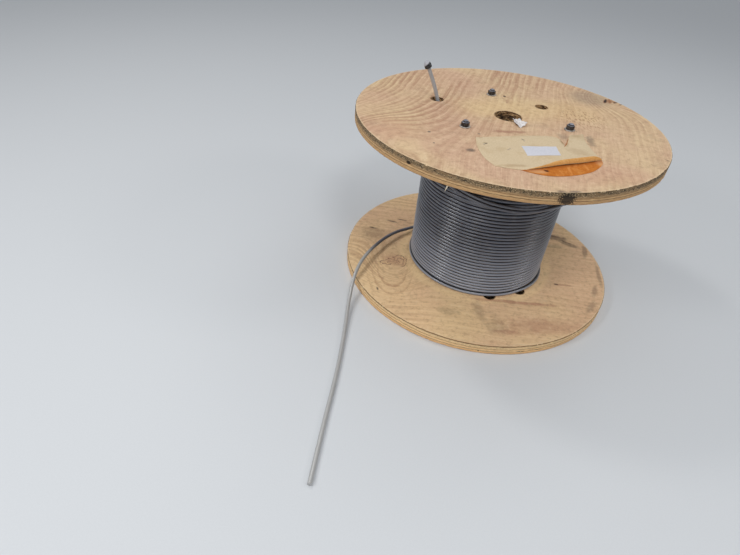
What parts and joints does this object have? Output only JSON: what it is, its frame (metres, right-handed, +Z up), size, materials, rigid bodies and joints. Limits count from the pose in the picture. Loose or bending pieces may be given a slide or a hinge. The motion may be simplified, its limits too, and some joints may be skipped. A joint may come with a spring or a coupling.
{
  "type": "wooden cable drum",
  "caption": "Plywood cable drum standing on its end, part wound with grey cable whose outer end runs over the lower flange to the floor.",
  "frame": {"origin": "on the drum's axis, at the floor that the lower flange stands on", "axes": "+Z up along the drum's axis; the picture was taken from -Y, with +X to its right"},
  "size_m": [0.6148, 0.9153, 0.4333],
  "materials": {
    "plywood": "bare sanded plywood with grain and visible plies",
    "fibre_tube": "bare wound fibreboard",
    "cable_jacket": "satin grey flexible jacket",
    "black_cap": "satin black",
    "dark_steel": "dark oxidised steel",
    "kraft_paper": "creased manila paper",
    "white_paper": "torn white paper"
  },
  "bodies": {
    "root": {"flange_lower": "plywood", "flange_upper": "plywood", "barrel": "fibre_tube", "bolt_1": "dark_steel", "bolt_2": "dark_steel", "bolt_3": "dark_steel", "washers": "dark_steel", "nuts": "dark_steel", "cable_winding": "cable_jacket", "cable_tail": "cable_jacket", "cable_inner_end": "cable_jacket", "inner_end_cap": "black_cap", "document_pouch": "kraft_paper", "paper_scrap": "white_paper"}
  },
  "joints": []
}
